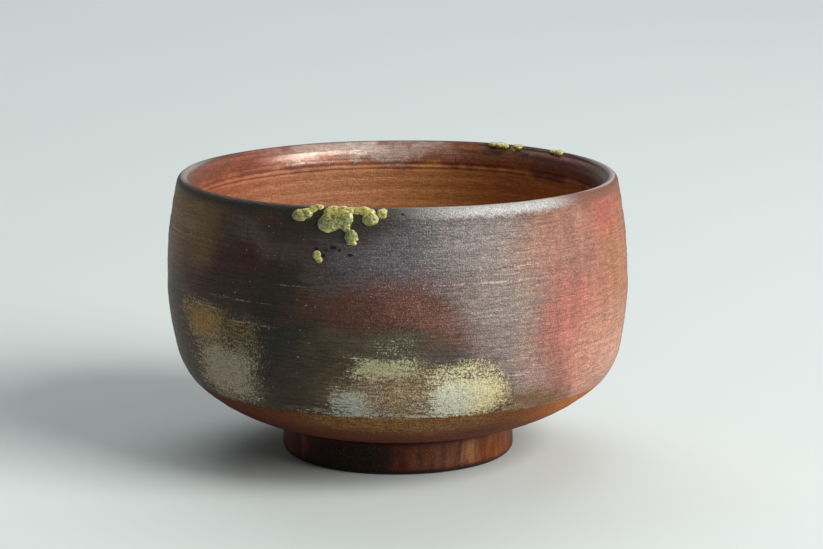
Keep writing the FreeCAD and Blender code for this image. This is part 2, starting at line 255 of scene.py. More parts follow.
def wheel_marks(points, labels, theta):
    """How far the clay stands proud of its section: turning lines outside, finger ridges inside and the
    trimming tool's rings below."""
    steps = np.linalg.norm(np.diff(points, axis=0), axis=1)
    path = np.concatenate([[0], np.cumsum(steps)])[:, None]
    radius, height, label = points[:, :1], points[:, 1:], labels[:, None]
    wander = 0.35 * np.sin(theta + 0.7) + 0.2 * np.sin(2 * theta + path * 0.05)
    fine = smooth_noise(11)
    finer = smooth_noise(12)
    broad = smooth_noise(13)
    patchy = smooth_noise(14)

    turning = 0.045 * fine((path + wander) / 0.9) + 0.028 * finer((path + wander * 1.6) / 0.42)
    turning = turning + 0.11 * broad((path + wander * 2.5) / 5.5)
    lively = 0.75 + 0.35 * patchy(path / 4 + 1.5 * np.sin(theta * 2 + path * 0.1))
    lift = turning * lively * ((label >= UPPER) & (label <= HIP))

    # The ridges that the fingers left inside climb in one spiral.
    turns = spiral_turns(path, theta, 3.6)
    groove = np.cos(2 * math.pi * turns) + 0.25 * np.cos(4 * math.pi * turns + 1.0)
    depth = np.clip(0.5 + 0.9 * broad(path / 9 + 40 + 0.8 * np.sin(theta + path / 11)), 0, 1.2)
    fingers = 0.055 * groove * depth + 0.03 * fine((path + wander) / 0.8)
    fingers = fingers + 0.12 * broad((path + wander * 3) / 5.0 + 77)
    lift = lift + (label <= INNER_UPPER) * smoothstep(0, 6, radius) * fingers

    # Two low ridges, with a groove between them, run round just below the bevel.
    ridges = 0.34 * bell(height, BEVEL_FOOT - 1.4, 0.42) + 0.28 * bell(height, BEVEL_FOOT - 2.7, 0.38)
    lift = lift + (label == INNER_UPPER) * (ridges - 0.26 * bell(height, BEVEL_FOOT - 2.05, 0.3))

    # A trimming tool cut rings into the underside and now and then dragged a grain of sand.
    rings = 0.05 * fine((path + wander * 0.6) / 1.1 + 90) + 0.03 * finer((path + wander) / 0.45 + 30)
    rings = rings - 0.05 * smoothstep(0.55, 0.9, patchy((path + wander) / 0.7 + 200))
    lift = lift + (label == TRIMMED) * rings
    cut = 0.06 * np.cos(2 * math.pi * spiral_turns(path, theta, 2.4)) * smoothstep(1.0, 5.0, radius)
    return lift + (label == RECESS) * cut


def hand_made(points, theta):
    """How far the hand pushed the form outwards and upwards: the bowl is a little fuller low on the right,
    leans a little and has a rim that waves."""
    radius, height = points[:, :1], points[:, 1:]
    out = smoothstep(9.5, 24, height) * (
        0.22 * swell(theta, math.radians(80), 0.9) * bell(height, 26, 12)
        - 0.42 * swell(theta, math.radians(-85), 0.9) * bell(height, 24, 9)
        - 0.224 * np.sin(theta) * bell(height, 64, 16)
        + 0.16 * np.cos(2 * theta + 0.6) * smoothstep(20, 70, height)
        - 0.18 * swell(theta, math.radians(-28), 0.35) * bell(height, 58, 9)
        + 0.10 * np.cos(3 * theta + 2.1) * smoothstep(30, 70, height)
    )
    wave = (
        0.16 * np.cos(theta - 2.2)
        + 0.12 * np.cos(2 * theta + 0.4)
        + 0.09 * np.cos(3 * theta - 1.0)
        + 0.05 * np.cos(7 * theta + 0.3)
    )
    return out * smoothstep(25, 45, radius), smoothstep(50, 76, height) * (wave - 0.12)


def bevel_shift(height):
    """How far the inside moves outwards where the lip is bevelled, or inwards where the wall is thicker."""
    opening = np.interp(height - BEVEL_FOOT, BEVEL_HEIGHTS, BEVEL_OPENING)
    return opening - THICKENING * smoothstep(*THICKENING_HEIGHTS, height)


def shape_bowl(points, labels):
    """The bowl's vertices, ring by ring: its section, marked, pushed about and spun."""
    theta = directions(SEGMENTS)
    normals = unit_normals(np.gradient(points, axis=0))
    lift = wheel_marks(points, labels, theta)
    out, up = hand_made(points, theta)
    bevel = bevel_shift(points[:, 1:]) * inside_shares(labels)[:, None]
    radius = points[:, :1] + normals[:, :1] * lift + out + bevel
    height = points[:, 1:] + normals[:, 1:] * lift + up
    return spin(radius, theta, height)


def foot_outline():
    """The foot ring's section: its seat, the outside, the standing face and the inside."""
    seat_inner = (SEAT_INNER[0] + 0.6, SEAT_INNER[1] + 0.10)
    seat_outer = (SEAT_OUTER[0] - 0.1, SEAT_OUTER[1] + 0.05)
    side_top = (FOOT_RADIUS, SEAT_OUTER[1] - 1.0)
    outer_edge = (FOOT_RADIUS - FOOT_ROUND, FOOT_ROUND)
    inner_edge = (FOOT_INNER + FOOT_INNER_ROUND, FOOT_INNER_ROUND)
    stretches = [
        straight(seat_inner, seat_outer, 1.2),
        straight(seat_outer, side_top, 0.3),
        straight(side_top, (FOOT_RADIUS, FOOT_ROUND), 0.3),
        arc(outer_edge, FOOT_ROUND, 0.0, -math.pi / 2, 0.3),
        straight((outer_edge[0], 0.0), (inner_edge[0], 0.0), 0.6),
        arc(inner_edge, FOOT_INNER_ROUND, -math.pi / 2, -math.pi, 0.3),
        straight((FOOT_INNER, FOOT_INNER_ROUND), seat_inner, 0.4),
    ]
    return np.concatenate([stretch[:-1] for stretch in stretches])


def shape_foot():
    """The foot ring's vertices, with the marks of the tool and a worn outer edge."""
    points = foot_outline()
    normals = unit_normals(np.roll(points, -1, axis=0) - np.roll(points, 1, axis=0))
    theta = directions(FOOT_SEGMENTS)
    radius, height = points[:, :1], points[:, 1:]
    outer = radius > FOOT_MIDDLE
    turns = theta / (2 * math.pi)
    broad = smooth_noise(32, 48)(turns * 48)
    quick = smooth_noise(33, 170)(turns * 170)
    turning = smooth_noise(31)((height + 0.3 * np.sin(theta + 1.0)) / 0.8)
    uneven = 0.07 * turning + 0.05 * broad + 0.025 * quick + 0.12 * np.cos(2 * theta + 1.1)
    lift = bell(height, 4.6, 3.4) * uneven
    lift = lift - 0.16 * bell(height, 0.9, 0.7) * np.clip(broad, 0, 1) * outer
    return spin(radius + np.abs(normals[:, :1]) * lift * np.where(outer, 1, -1), theta, height)


def ring_faces(rings, segments, closed):
    """The quads between rings of vertices; closed joins the last ring to the first."""
    ring = np.arange(rings if closed else rings - 1)[:, None]
    column = np.arange(segments)[None, :]
    here = ring * segments
    after = (ring + 1) % rings * segments
    beside = (column + 1) % segments
    return np.stack([here + column, after + column, after + beside, here + beside], axis=-1).reshape(-1, 4)


def mesh_object(name, vertices, faces):
    mesh = bpy.data.meshes.new(name)
    mesh.from_pydata(vertices, [], faces)
    mesh.validate()
    made = bpy.data.objects.new(name, mesh)
    bpy.context.scene.collection.objects.link(made)
    return made


def finish_piece(piece, node, material):
    """Smooths a piece, faces it outwards, paints it and puts it in the place of its CAD node."""
    work = bmesh.new()
    work.from_mesh(piece.data)
    bmesh.ops.recalc_face_normals(work, faces=work.faces)
    for face in work.faces:
        face.smooth = True
    work.to_mesh(piece.data)
    work.free()
    piece.data.materials.clear()
    piece.data.materials.append(material)
    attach(piece, "root")
    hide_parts(node)


def build_bowl(material):
    """The thrown bowl: rings of quads, closed by a fan at the middle of the floor and of the underside."""
    points, labels = bowl_profile()
    grid = shape_bowl(points, labels)
    rings = grid[1:-1]
    vertices = np.concatenate([rings.reshape(-1, 3), [grid[0].mean(axis=0)], [grid[-1].mean(axis=0)]])
    faces = ring_faces(len(rings), SEGMENTS, False).tolist()
    floor_pole = len(rings) * SEGMENTS
    under_pole = floor_pole + 1
    last_ring = floor_pole - SEGMENTS
    for column in range(SEGMENTS):
        beside = (column + 1) % SEGMENTS
        faces.append((floor_pole, column, beside))
        faces.append((under_pole, last_ring + beside, last_ring + column))
    piece = mesh_object("thrown_bowl", vertices.tolist(), faces)
    # The attribute named inside is 1 inside the bowl, 0 on the outside and between the two on the lip.
    inside = piece.data.attributes.new("inside", "FLOAT", "POINT")
    shares = np.concatenate([np.repeat(inside_shares(labels)[1:-1], SEGMENTS), [1.0], [0.0]])
    inside.data.foreach_set("value", shares.astype(np.float32))
    finish_piece(piece, "bowl_body", material)


def build_foot(material):
    grid = shape_foot()
    faces = ring_faces(len(grid), FOOT_SEGMENTS, True).tolist()
    piece = mesh_object("turned_foot_ring", grid.reshape(-1, 3).tolist(), faces)
    finish_piece(piece, "foot_ring", material)


# ---------------------------------------------------------------- materials

# How far a leaning patch of colour leans, in degrees.
TILT = 30


def tone(red, green, blue):
    """A display colour of 0 to 255 as the linear colour of a material."""
    shares = [channel / 255 for channel in (red, green, blue)]
    return (*[c / 12.92 if c <= 0.04045 else ((c + 0.055) / 1.055) ** 2.4 for c in shares], 1.0)


class Paint:
    """Writes a material's nodes as expressions."""

    def __init__(self, name):
        self.material = bpy.data.materials.new(name)
        self.material.use_nodes = True
        self.tree = self.material.node_tree
        self.shader = self.tree.nodes["Principled BSDF"]

    def give(self, socket, value):
        """Links a socket to another node's output, or sets it to a plain value."""
        if isinstance(value, bpy.types.NodeSocket):
            self.tree.links.new(value, socket)
        else:
            socket.default_value = value

    def node(self, kind, inputs, **settings):
        made = self.tree.nodes.new(kind)
        for key, value in settings.items():
            setattr(made, key, value)
        for key, value in inputs.items():
            self.give(made.inputs[key], value)
        return made

    def math(self, operation, first, second=0.0, third=0.0, clamp=False):
        inputs = {0: first, 1: second, 2: third}
        return self.node("ShaderNodeMath", inputs, operation=operation, use_clamp=clamp).outputs[0]

    def add(self, first, *others):
        for other in others:
            first = self.math("ADD", first, other)
        return first

    def times(self, first, *others):
        for other in others:
            first = self.math("MULTIPLY", first, other)
        return first

    def most(self, first, second):
        """The greater of two numbers."""
        return self.math("MAXIMUM", first, second)

    def less(self, first, second):
        """A share with another taken off it, down to 0."""
        return self.math("SUBTRACT", first, second, clamp=True)

    def sway(self, value, width):
        """A noise as a number that is about 0 on average and at most half a width either way."""
        return self.math("MULTIPLY_ADD", value, width, -width / 2)

    def vector(self, operation, first, second=(0, 0, 0), third=(0, 0, 0)):
        made = self.node("ShaderNodeVectorMath", {0: first, 1: second}, operation=operation)
        if operation == "MULTIPLY_ADD":
            made.inputs[2].default_value = third
        return made.outputs["Value" if operation == "LENGTH" else "Vector"]

    def point(self, x, y, z=0.0):
        return self.node("ShaderNodeCombineXYZ", {0: x, 1: y, 2: z}).outputs[0]

    def ramp(self, value, low, high, start=0.0, end=1.0):
        """Passes smoothly from start to end as a value passes from low to high."""
        inputs = {"Value": value, "From Min": low, "From Max": high, "To Min": start, "To Max": end}
        return self.node("ShaderNodeMapRange", inputs, interpolation_type="SMOOTHSTEP").outputs["Result"]

    def noise(self, vector, scale, detail=2.0, roughness=0.55):
        inputs = {"Vector": vector, "Scale": scale, "Detail": detail, "Roughness": roughness}
        return self.node("ShaderNodeTexNoise", inputs).outputs["Fac"]

    def mix(self, share, first, second, mode="MIX"):
        """Mixes two colours."""
        inputs = {0: share, 6: first, 7: second}
        return self.node("ShaderNodeMix", inputs, data_type="RGBA", blend_type=mode).outputs[2]

    def blend(self, share, first, second):
        """Mixes two numbers."""
        return self.node("ShaderNodeMix", {0: share, 2: first, 3: second}, data_type="FLOAT").outputs[0]

    def tinted(self, colour, value):
        """A colour with its brightness multiplied by a number."""
        grey = self.node("ShaderNodeCombineColor", {0: value, 1: value, 2: value}).outputs[0]
        return self.mix(1.0, colour, grey, "MULTIPLY")

    def bump(self, height, distance, strength=1.0):
        inputs = {"Height": height, "Distance": distance, "Strength": strength}
        return self.node("ShaderNodeBump", inputs).outputs["Normal"]

    def set(self, **sockets):
        """Sets the shader's own sockets; a space in a socket's name is written as an underscore."""
        for key, value in sockets.items():
            self.give(self.shader.inputs[key.replace("_", " ")], value)


class Wall:
    """What a piece is painted by: millimetres, the direction round the axis and the height."""

    def __init__(self, paint):
        self.paint = paint
        place = paint.node("ShaderNodeTexCoord", {}).outputs["Object"]
        self.mm = paint.vector("MULTIPLY", place, (1000, 1000, 1000))
        split = paint.node("ShaderNodeSeparateXYZ", {0: self.mm}).outputs
        self.x, self.y, self.z = split[0], split[1], split[2]
        turn = paint.math("ARCTAN2", self.x, paint.times(self.y, -1.0))
        self.theta = paint.times(turn, math.degrees(1))
        back_turn = paint.math("ARCTAN2", paint.times(self.x, -1.0), self.y)
        self.back = paint.times(back_turn, math.degrees(1))
        self.radius = paint.vector("LENGTH", paint.point(self.x, self.y))
        self.plain = {0: paint.point(self.theta, self.z)}

    def map(self, turn, sideways, upwards):
        """A (direction, height) vector whose edges wander with two numbers that are 0 on average. It comes
        three times: as it is and with both axes tilted by TILT either way."""
        paint = self.paint
        level = paint.point(paint.add(turn, sideways), paint.add(self.z, upwards))
        maps = {0: level}
        for side in (-1, 1):
            inputs = {"Vector": level, "Angle": -side * math.radians(TILT)}
            maps[side] = paint.node("ShaderNodeVectorRotate", inputs, rotation_type="Z_AXIS").outputs[0]
        return maps


def zone(paint, maps, centre, reach, side=0, soft=0.5, square=False):
    """How far a point is in a soft patch: 1 in its middle and 0 outside. Reaches are half widths. Side is 1
    for a patch that climbs to the right, -1 for one that climbs to the left and 0 for a level one."""
    turn = side * math.radians(TILT)
    across = centre[0] * math.cos(turn) + centre[1] * math.sin(turn)
    along = centre[1] * math.cos(turn) - centre[0] * math.sin(turn)
    scale = (1 / reach[0], 1 / reach[1], 0)
    local = paint.vector("MULTIPLY_ADD", maps[side], scale, (-across / reach[0], -along / reach[1], 0))
    if square:
        local = paint.vector("MULTIPLY", local, local)
    far = paint.vector("LENGTH", local)
    if square:
        far = paint.math("SQRT", far)
    return paint.ramp(far, 1 + soft, 1 - soft)


def flashed(paint, colour, place, flashes):
    """A colour with soft patches of other colours over it."""
    for centre, reach, side, soft, strength, shade in flashes:
        share = paint.times(zone(paint, place, centre, reach, side, soft), strength)
        colour = paint.mix(share, colour, tone(*shade))
    return colour


# Flashes of colour outside: direction and height of the middle, half widths, side, softness, strength and
# colour. Directions are degrees round from the front, positive to the right.
OUTER_FLASHES = [
    # The grey-olive at the far left is partly the clay's colour and partly a painted reflection on the wall
    # seen edge-on.
    ((-80, 44), (12, 34), 0, 0.8, 0.9, (94, 86, 68)),
    ((-62, 54), (20, 6), 1, 0.8, 0.95, (76, 28, 16)),
    ((-72, 68), (10, 12), 0, 0.8, 0.9, (124, 82, 42)),
    ((-56, 68), (9, 9), 1, 0.6, 0.9, (118, 88, 42)),
    ((-66, 42), (9, 13), 0, 0.8, 0.8, (68, 44, 22)),
    ((-40, 68), (11, 8), 0, 0.8, 0.8, (62, 42, 32)),
    ((-42, 59), (16, 4.5), 1, 0.8, 0.95, (58, 20, 12)),
    ((-27, 63), (17, 2.8), -1, 0.8, 0.85, (92, 74, 68)),
    ((-20, 69), (12, 5), 0, 0.8, 0.7, (54, 40, 34)),
    ((-40, 52), (17, 4.5), 0, 0.8, 0.85, (46, 28, 14)),
    ((-28, 40), (8, 21), 0, 0.8, 0.98, (30, 26, 16)),
    ((-23, 49), (8, 11), 0, 0.8, 0.9, (34, 32, 26)),
    ((-26, 27), (14, 5), 0, 0.9, 0.8, (54, 36, 18)),
    ((-12, 61), (9, 5), -1, 0.8, 0.8, (56, 46, 46)),
    # The next two greys are partly the clay's smoky colour and partly a painted sheen of the key light.
    ((6, 66), (20, 9), 0, 0.7, 0.95, (82, 80, 84)),
    ((20, 66), (12, 10), 0, 0.9, 0.9, (118, 108, 104)),
    ((8, 55.5), (16, 3.6), 0, 0.9, 0.8, (94, 76, 74)),
    ((-8, 50.5), (14, 4.4), 0, 0.8, 0.9, (76, 44, 34)),
    ((8, 49.5), (12, 4), -1, 0.8, 0.9, (98, 60, 52)),
    ((16, 43.5), (10, 4.5), -1, 0.9, 0.85, (96, 64, 56)),
    ((-4, 41.5), (13, 4.2), 0, 0.8, 0.85, (74, 66, 52)),
    ((8, 38), (10, 2.6), 0, 0.9, 0.7, (68, 66, 58)),
    ((-16, 33), (8, 9), 0, 0.9, 0.75, (68, 54, 36)),
    ((-1, 28), (13, 7), 0, 0.8, 0.85, (112, 90, 68)),
    # The next two greys are a painted sheen of the key light over the red-brown clay.
    ((26, 48), (9, 16), 0, 0.7, 0.95, (120, 108, 102)),
    ((34, 34), (7, 13), 0, 0.8, 0.9, (134, 114, 105)),
    ((36, 62), (9, 10), 0, 0.9, 0.9, (132, 104, 91)),
    ((54, 42), (15, 22), 0, 0.85, 0.98, (151, 96, 82)),
    ((44, 48), (6, 10), 0, 1.0, 0.6, (150, 88, 76)),
    ((51, 67), (14, 8), 0, 0.9, 0.9, (142, 99, 83)),
    ((68, 70), (11, 8), 0, 0.9, 0.85, (148, 72, 62)),
    ((74, 48), (13, 22), 0, 0.8, 0.9, (152, 102, 72)),
    ((67, 31), (15, 11), 0, 0.9, 0.85, (176, 130, 109)),
    ((36, 23.5), (14, 2.6), 0, 0.9, 0.85, (108, 76, 46)),
]

# The same for the back, with directions measured from the back.
BACK_FLASHES = [
    ((-76, 46), (22, 34), 0, 0.7, 0.9, (140, 88, 62)),
    ((-52, 60), (16, 16), 1, 0.8, 0.9, (120, 60, 46)),
    ((-34, 36), (18, 14), 0, 0.8, 0.9, (96, 84, 76)),
    ((-30, 67), (16, 8), 0, 0.8, 0.8, (60, 50, 42)),
    ((-6, 52), (18, 8), 1, 0.8, 0.9, (92, 50, 40)),
    ((8, 34), (20, 10), 0, 0.8, 0.9, (48, 40, 32)),
    ((22, 64), (18, 9), 0, 0.8, 0.85, (84, 80, 82)),
    ((46, 50), (16, 14), 1, 0.8, 0.85, (66, 34, 24)),
    ((74, 60), (14, 14), 0, 0.8, 0.85, (96, 70, 40)),
    ((66, 32), (18, 12), 0, 0.8, 0.8, (62, 54, 42)),
]

# Drifts of fly ash: middle, half widths, side, softness and density.
ASH_DRIFTS = [
    ((-53.5, 42.8), (8, 5.4), 0, 0.8, 0.80),
    ((-40, 41.5), (7, 5.4), 0, 0.9, 0.50),
    ((-47, 31), (11, 7.2), 0, 0.8, 0.88),
    ((-40, 32), (5, 7), 0, 0.9, 0.52),
    ((-2.5, 35.8), (7, 2.5), 0, 0.9, 1.0),
    ((0, 41), (5, 4), 0, 0.9, 0.26),
    ((-10.5, 25.6), (4.8, 4.0), 0, 1.0, 0.92),
    ((1, 28), (12, 6.5), 0, 0.9, 0.46),
    ((16, 30.5), (10.5, 6.4), 0, 0.5, 0.62),
    ((17, 27.3), (9.5, 5.4), 0, 0.6, 1.0),
    ((4, 22.9), (26, 0.9), 0, 0.9, 0.62),
]

ASH_TINTS = [
    ((-54, 43), (12, 7), 0, 0.8, 1.0, (156, 122, 66)),
    ((-39, 42), (9, 6), 0, 0.9, 0.9, (124, 104, 64)),
    ((-46, 30), (16, 8), 0, 0.7, 1.0, (160, 144, 124)),
    ((-2, 36), (11, 5), 0, 0.8, 1.0, (160, 158, 124)),
    ((-11, 25.5), (8, 6), 0, 0.8, 1.0, (160, 162, 150)),
    ((0, 28), (7, 8), 0, 0.8, 0.8, (148, 126, 98)),
    ((13.5, 27), (7.5, 4.4), 1, 1.0, 0.85, (182, 183, 168)),
    ((25, 28), (6, 8), 0, 1.0, 0.8, (182, 167, 122)),
]

BACK_DRIFTS = [
    ((-36, 29), (17, 8), 1, 1.0, 1.0),
    ((-14, 26), (16, 4), 0, 1.0, 0.6),
    ((-26, 60), (8, 15), 1, 1.0, 0.62),
    ((34, 27), (20, 5.5), 0, 1.0, 0.9),
    ((60, 42), (7, 12), -1, 1.0, 0.62),
]

BACK_TINTS = [
    ((-32, 30), (18, 12), 0, 0.6, 1.0, (168, 156, 126)),
    ((-24, 60), (12, 14), 0, 0.6, 1.0, (118, 104, 66)),
    ((44, 34), (32, 14), 0, 0.6, 1.0, (136, 122, 96)),
]

# Flashes inside, with directions measured from the back.
INNER_FLASHES = [
    ((60, 64), (34, 24), 0, 0.8, 0.8, (152, 88, 66)),
    ((14, 64), (32, 9), 0, 0.8, 0.7, (178, 126, 92)),
    ((-38, 58), (38, 30), 0, 0.8, 0.9, (204, 140, 82)),
    ((0, 75.5), (400, 5.7), 0, 0.26, 0.88, (120, 68, 52)),
    # The next two are painted: a grey reflection on the bevel to the right, and a highlight of the key
    # light on the bevel at the back.
    ((-92, 74), (34, 5), 0, 0.9, 0.9, (122, 110, 104)),
    ((12, 74.5), (20, 2.7), 0, 0.9, 0.95, (190, 172, 160)),
    ((98, 74), (20, 5), 0, 0.9, 0.7, (118, 84, 74)),
    ((-36, 75.6), (13, 1.6), 0, 0.8, 0.85, (58, 50, 30)),
    ((-64, 73.5), (16, 3.5), 0, 0.8, 0.7, (110, 46, 42)),
    ((0, 14), (400, 8), 0, 0.6, 0.6, (112, 68, 42)),
]

# Hair lines where a dragged grain scored the wall: direction and height of the middle, half lengths.
SCRATCHES = [
    ((-53.5, 47.4), (6.5, 0.24)),
    ((-41, 50.9), (8, 0.18)),
    ((-37, 45.2), (6.5, 0.26)),
    ((-25, 56.2), (3, 0.2)),
    ((22, 57.2), (14, 0.2)),
    ((28, 60.8), (9, 0.16)),
    ((30, 36.8), (4, 0.22)),
    ((29, 32.4), (3, 0.22)),
]

# Pits that burnt black under the front run and elsewhere: middle and half widths.
PITS = [
    ((-14.9, 66.5), (0.9, 0.45)),
    ((-13.4, 65.8), (0.4, 0.4)),
    ((-16.6, 65.8), (0.4, 0.35)),
    ((-18.9, 66.0), (0.55, 0.4)),
    ((-17.2, 64.4), (0.4, 0.5)),
    ((-10.8, 64.8), (0.7, 0.4)),
    ((1.5, 74.9), (0.4, 0.3)),
]

# The same for the foot ring.
FOOT_FLASHES = [
    # Nearly black on the left and in front: the clay's dark colour deepened by painted shade.
    ((-26, 4), (26, 12), 0, 0.5, 0.95, (24, 12, 5)),
    ((-50, 4), (12, 8), 0, 0.6, 0.6, (54, 18, 10)),
    ((12, 5), (5, 6), 0, 0.7, 0.8, (74, 38, 20)),
    ((17, 5), (4, 5), 0, 0.7, 0.7, (84, 36, 14)),
    ((26, 5), (7, 5), 0, 0.7, 0.8, (94, 54, 26)),
    ((39.5, 6), (3, 4), 0, 1.0, 0.85, (122, 92, 64)),
    ((33.5, 6), (1.5, 4), 0, 0.9, 0.7, (112, 84, 66)),
    ((-54, 6), (2, 4), 0, 1.0, 0.8, (120, 60, 30)),
    ((58, 5), (18, 7), 0, 0.6, 0.85, (122, 62, 14)),
]


class BowlClay:
    """The bowl's clay, painted in layers: each changes the colour, the roughness and the metallic film so
    far. Its noises stand for drifting flame, turning lines, flame runs and grains of sand."""

    def __init__(self):
        self.paint = paint = Paint("fired_clay_flashed")
        self.wall = wall = Wall(paint)
        self.cloud = paint.noise(wall.mm, 0.06, 4.0, 0.6)
        self.drift = paint.noise(paint.vector("ADD", wall.mm, (70, 30, 10)), 0.10, 3.0, 0.6)
        self.streak = paint.noise(paint.vector("MULTIPLY", wall.mm, (1, 1, 11)), 0.24, 4.0, 0.65)
        self.lines = paint.noise(paint.vector("MULTIPLY", wall.mm, (0.05, 0.05, 1)), 2.0, 4.0, 0.75)
        self.runs = paint.noise(paint.vector("MULTIPLY", wall.mm, (1, 1, 0.12)), 0.30, 3.0, 0.6)
        self.grain = paint.noise(wall.mm, 2.6, 2.0, 0.6)
        self.fleck = paint.noise(paint.vector("MULTIPLY", wall.mm, (1, 1, 1.4)), 0.9, 4.0, 0.75)
        self.mote = paint.noise(paint.vector("ADD", wall.mm, (15, 45, 5)), 1.25, 1.0, 0.5)
        lean = paint.add(paint.sway(self.cloud, 16), paint.sway(self.streak, 12))
        rise = paint.add(paint.sway(self.drift, 14), paint.sway(self.fleck, 3))
        self.front = wall.map(wall.theta, lean, rise)
        self.back = wall.map(wall.back, lean, rise)

    def flashes(self):
        """Flame colours outside, which turning lines, flame runs and grains of sand take differently. In
        front on the right some greys are a painted sheen and pale grains are painted glints.
        """
        paint = self.paint
        colour = paint.mix(paint.ramp(self.cloud, 0.4, 0.6), tone(50, 34, 21), tone(70, 44, 29))
        colour = flashed(paint, colour, self.front, OUTER_FLASHES)
        colour = flashed(paint, colour, self.back, BACK_FLASHES)
        # A film that fumed on in smoke gives the front a dull metallic sheen.
        upper_film = zone(paint, self.front, (18, 63), (28, 18))
        lower_film = zone(paint, self.front, (28, 44), (12, 24))
        self.film = paint.most(upper_film, lower_film)

        runny = paint.times(zone(paint, self.front, (58, 44), (30, 36)), paint.sway(self.runs, 0.8))
        colour = paint.tinted(colour, paint.add(runny, 1.0))
        shade = paint.times(
            paint.ramp(self.streak, 0.36, 0.64, 0.86, 1.16),
            paint.ramp(self.lines, 0.36, 0.64, 0.84, 1.16),
            paint.ramp(self.fleck, 0.34, 0.66, 0.82, 1.20),
            paint.ramp(self.grain, 0.34, 0.66, 0.77, 1.22),
        )
        colour = paint.tinted(colour, shade)
        # Pale grains in the film are painted glints of the key light; the sparse pale motes are the clay's
        # own specks.
        glints_and_motes = paint.times(paint.ramp(self.grain, 0.58, 0.70, 0.0, 0.28), self.film)
        glints_and_motes = paint.most(glints_and_motes, paint.ramp(self.mote, 0.73, 0.79, 0.0, 0.35))
        self.colour = paint.mix(glints_and_motes, colour, tone(190, 182, 168))
        self.rough = paint.ramp(self.streak, 0.35, 0.65, 0.50, 0.40)

    def ash(self):
        """Drifts of fly ash, which sand grains, flecks and turning lines break up."""
        paint, wall = self.paint, self.wall
        self.sprinkle = paint.add(
            paint.sway(self.grain, 1.3), paint.sway(self.fleck, 1.0), paint.sway(self.streak, 1.1)
        )
        self.mottle = paint.times(
            paint.ramp(self.fleck, 0.34, 0.66, 0.84, 1.14), paint.ramp(self.grain, 0.36, 0.62, 0.72, 1.16)
        )
        rag = paint.add(paint.sway(self.streak, 14), paint.sway(self.drift, 9))
        fray = paint.add(paint.sway(self.fleck, 4), paint.sway(self.cloud, 6))
        self.ragged = wall.map(wall.theta, rag, fray)
        self.ragged_back = wall.map(wall.back, rag, fray)
        front_dust = self.dusted(self.ragged, ASH_DRIFTS, ASH_TINTS, square=True)
        back_dust = self.dusted(self.ragged_back, BACK_DRIFTS, BACK_TINTS, square=False)
        dust = paint.most(front_dust, back_dust)
        self.rough = paint.blend(dust, self.rough, 0.7)
        self.film = paint.less(self.film, dust)

    def dusted(self, place, drifts, tints, square):
        """Lays ash on, thick in the middle of each drift and in grains at its edge. Returns its share."""
        paint = self.paint
        density = 0.0
        for centre, reach, side, soft, thick in drifts:
            share = paint.times(zone(paint, place, centre, reach, side, soft, square), thick)
            density = paint.most(density, share)
        ash = paint.mix(self.mottle, tone(176, 164, 122), tone(192, 182, 140))
        ash = paint.tinted(flashed(paint, ash, place, tints), self.mottle)
        cover = paint.ramp(paint.add(density, self.sprinkle), 0.20, 0.86)
        cover = paint.times(cover, paint.ramp(density, 0.04, 0.3))
        self.colour = paint.mix(cover, self.colour, ash)
        return cover

    def marked(self, marks, soft):
        """How far a point is in any of a list of small marks."""
        share = 0.0
        for centre, reach in marks:
            share = self.paint.most(share, zone(self.paint, self.wall.plain, centre, reach, 0, soft))
        return share

    def scratches(self):
        """Broken hair lines, golden on the left and silvery on the right."""
        paint = self.paint
        broken = paint.ramp(paint.add(self.fleck, paint.sway(self.streak, 0.6)), 0.44, 0.56)
        score = paint.times(self.marked(SCRATCHES, 0.6), broken, 0.5)
        scored = paint.mix(paint.ramp(self.wall.theta, 0, 16), tone(176, 158, 122), tone(198, 188, 176))
        self.colour = paint.mix(score, self.colour, scored)

    def soot_and_shade(self):
        """Smoke-black round the glass; round the front glass it is partly painted shade in the gaps and
        under the beads.
        """
        paint = self.paint
        # Round the front glass the dark is partly a burnt halo and partly painted shade in the gaps and
        # under the beads.
        front_soot_and_shade = paint.times(zone(paint, self.ragged, (-14, 72.5), (14, 4.5), soft=0.4), 0.85)
        rear_soot = paint.times(zone(paint, self.ragged_back, (-35, 72), (16, 5)), 0.8)
        soot_and_shade = paint.most(front_soot_and_shade, rear_soot)
        self.colour = paint.mix(soot_and_shade, self.colour, paint.tinted(tone(42, 38, 28), self.mottle))
        self.film = paint.less(self.film, soot_and_shade)

    def lip(self):
        """The lip: charred on the left, silvered by smoke and lit by a painted highlight in front on the
        right, rust at the far right.
        """
        paint, wall = self.paint, self.wall
        lip = paint.ramp(paint.add(wall.z, paint.sway(self.fleck, 3.0)), 73.0, 74.6)
        colour = paint.mix(paint.ramp(wall.theta, -60, -40), tone(58, 40, 22), tone(46, 42, 32))
        # The silver in front on the right is partly smoke silvering and partly a painted highlight of the
        # key light.
        colour = paint.mix(paint.ramp(wall.theta, -6, 20), colour, tone(164, 162, 158))
        colour = paint.mix(paint.ramp(wall.theta, 38, 54), colour, tone(112, 72, 58))
        colour = paint.mix(paint.ramp(wall.theta, 90, 120), colour, tone(66, 44, 38))
        colour = paint.tinted(colour, paint.ramp(self.grain, 0.36, 0.64, 0.7, 1.25))
        self.colour = paint.mix(paint.times(lip, 0.92), self.colour, colour)
        self.rough = paint.blend(lip, self.rough, 0.38)

    def crest(self):
        """The top of the lip: a dark line, wider to the left and the right, where a pale painted highlight
        lies on it.
        """
        paint, wall = self.paint, self.wall
        self.inside = paint.node("ShaderNodeAttribute", {}, attribute_name="inside").outputs["Fac"]
        self.side = paint.ramp(paint.math("ABSOLUTE", wall.x), 42, 57)
        crest = paint.ramp(paint.math("MULTIPLY_ADD", self.side, 0.18, self.inside), 0.36, 0.48)
